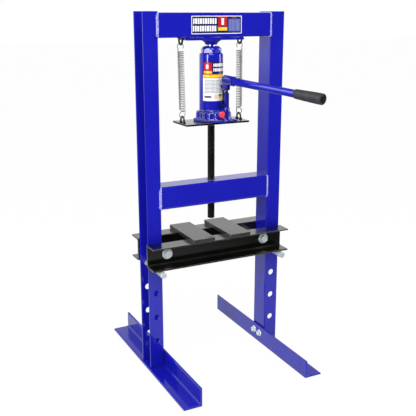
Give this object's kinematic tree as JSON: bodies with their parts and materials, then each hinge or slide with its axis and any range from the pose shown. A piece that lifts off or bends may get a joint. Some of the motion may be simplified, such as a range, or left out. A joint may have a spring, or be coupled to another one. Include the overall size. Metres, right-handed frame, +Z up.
{
  "type": "hydraulic shop press",
  "caption": "Bench-height H-frame shop press: a bottle jack hung on two springs drives a round ram down onto an adjustable channel bed with loose arbor plates.",
  "frame": {"origin": "on the floor, midway between the two uprights", "axes": "+Z up, +X to the operator's right, -Y towards the operator"},
  "size_m": [0.4074, 0.6029, 0.945],
  "materials": {
    "blue_paint": "gloss",
    "cast_blue": "gloss over a cast skin",
    "black_paint": "gloss",
    "zinc": "bright zinc plate",
    "steel": "machined",
    "chrome": "polished",
    "rubber": "matte",
    "red_plastic": "gloss"
  },
  "bodies": {
    "frame": {"left_upright": "blue_paint", "right_upright": "blue_paint", "top_beam": "blue_paint", "middle_beam": "blue_paint", "ram_guide": "steel", "thrust_plate": "blue_paint", "screw_seat": "blue_paint", "spring_eye_left": "black_paint", "spring_eye_right": "black_paint", "left_foot": "blue_paint", "right_foot": "blue_paint", "foot_bolt_left_front": "zinc", "foot_bolt_left_back": "zinc", "foot_bolt_right_front": "zinc", "foot_bolt_right_back": "zinc", "foot_nut_left_front": "zinc", "foot_nut_left_back": "zinc", "foot_nut_right_front": "zinc", "foot_nut_right_back": "zinc", "jack_piston": "chrome", "piston_seal": "rubber", "extension_screw": "chrome", "return_spring_left": "zinc", "return_spring_right": "zinc"},
    "carriage": {"carriage_plate": "black_paint", "spring_loop_left": "black_paint", "spring_loop_right": "black_paint", "press_ram": "black_paint", "jack_base": "cast_blue", "jack_tank": "blue_paint", "jack_cylinder": "steel", "jack_cap_nut": "blue_paint", "pump_cylinder": "blue_paint", "pump_seal": "rubber", "filler_plug": "rubber", "link_foot_pin": "steel"},
    "release_valve": {"release_screw": "steel", "release_knob": "red_plastic"},
    "pump": {"pump_plunger": "steel", "plunger_pin": "steel"},
    "fork": {"handle_socket": "blue_paint", "link_head_pin": "steel"},
    "link": {"pump_link": "black_paint"},
    "handle": {"handle_tube": "blue_paint", "handle_grip": "rubber"},
    "bed": {"bed_channel_front": "black_paint", "bed_channel_back": "black_paint", "tie_bolt_left": "zinc", "tie_bolt_right": "zinc", "tie_nut_left": "zinc", "tie_nut_right": "zinc", "spacer_sleeve_left": "steel", "spacer_sleeve_right": "steel"},
    "left_pin": {"support_pin_left": "zinc"},
    "right_pin": {"support_pin_right": "zinc"},
    "left_arbor": {"arbor_plate_left": "black_paint"},
    "right_arbor": {"arbor_plate_right": "black_paint"}
  },
  "joints": [
    {"name": "ram_stroke", "type": "slide", "parent": "frame", "child": "carriage", "axis": [0, 0, 1], "range_m": [-0.11, 0], "stiffness_N_per_m": 900, "springref_m": 0.1, "deforming": ["return_spring_left", "return_spring_right"]},
    {"name": "pump_stroke", "type": "slide", "parent": "carriage", "child": "pump", "axis": [0, 0, 1], "range_m": [-0.0052, 0.0042]},
    {"name": "handle_swing", "type": "hinge", "parent": "pump", "child": "fork", "pos_m": [0.02227, -0.04355, 0.755], "axis": [-0.9613, -0.2756, 0], "range_deg": [-25, 20]},
    {"name": "link_tilt", "type": "hinge", "parent": "carriage", "child": "link", "pos_m": [0.0191, -0.0325, 0.709], "axis": [-0.9613, -0.2756, 0], "range_deg": [-3, 2.5]},
    {"name": "handle_pull_out", "type": "slide", "parent": "fork", "child": "handle", "axis": [0.2749, -0.9588, -0.0715], "range_m": [0, 0.06]},
    {"name": "valve_turn", "type": "hinge", "parent": "carriage", "child": "release_valve", "pos_m": [-0.0125, -0.00358, 0.69], "axis": [0.2756, -0.9613, 0], "range_deg": [0, 360]},
    {"name": "bed_lift", "type": "slide", "parent": "frame", "child": "bed", "axis": [0, 0, 1], "range_m": [0, 0.06]},
    {"name": "left_pin_pull_out", "type": "slide", "parent": "frame", "child": "left_pin", "axis": [0, -1, 0], "range_m": [0, 0.175]},
    {"name": "right_pin_pull_out", "type": "slide", "parent": "frame", "child": "right_pin", "axis": [0, -1, 0], "range_m": [0, 0.175]},
    {"name": "left_arbor_slide", "type": "slide", "parent": "bed", "child": "left_arbor", "axis": [1, 0, 0], "range_m": [-0.05, 0.017]},
    {"name": "right_arbor_slide", "type": "slide", "parent": "bed", "child": "right_arbor", "axis": [1, 0, 0], "range_m": [-0.008, 0.05]}
  ],
  "couplings": [
    {"joint": "pump_stroke", "follows": "handle_swing", "m_per_rad": 0.011115},
    {"joint": "link_tilt", "follows": "handle_swing", "ratio": 0.1045}
  ]
}
